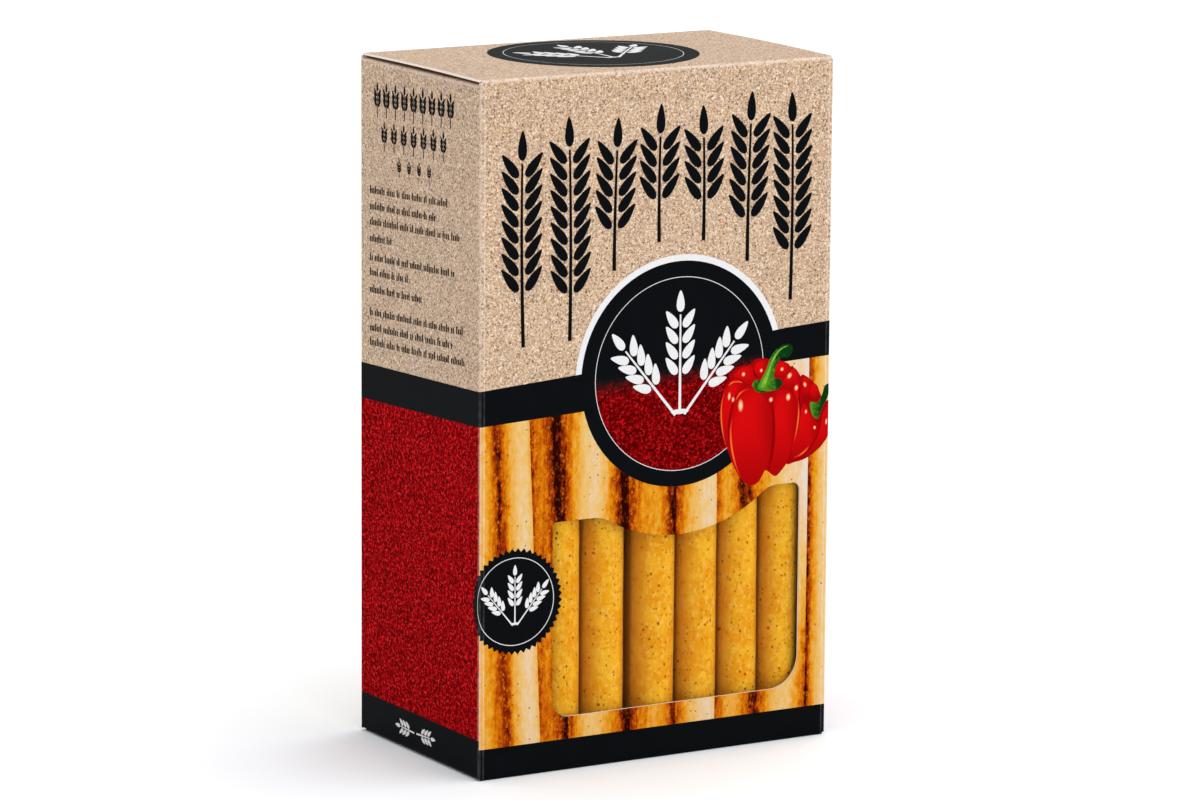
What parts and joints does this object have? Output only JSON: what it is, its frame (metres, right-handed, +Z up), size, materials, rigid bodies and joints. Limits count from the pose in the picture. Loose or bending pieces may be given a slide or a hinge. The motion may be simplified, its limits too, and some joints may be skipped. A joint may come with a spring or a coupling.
{
  "type": "windowed carton of grissini breadsticks",
  "caption": "Upright shut folding carton in printed kraft board, with a die-cut film window that shows a row of golden breadsticks.",
  "frame": {"origin": "middle of the carton's base", "axes": "+Z up, -Y out of the front panel, +X to the right along the front"},
  "size_m": [0.099, 0.06, 0.17],
  "materials": {
    "board": "printed kraft folding board, matt",
    "film": "clear glossy film",
    "crust": "baked dough, dull with fine grain"
  },
  "bodies": {
    "root": {"carton": "board", "window_film": "film", "breadstick_1": "crust", "breadstick_2": "crust", "breadstick_3": "crust", "breadstick_4": "crust", "breadstick_5": "crust", "breadstick_6": "crust", "breadstick_7": "crust"}
  },
  "joints": []
}
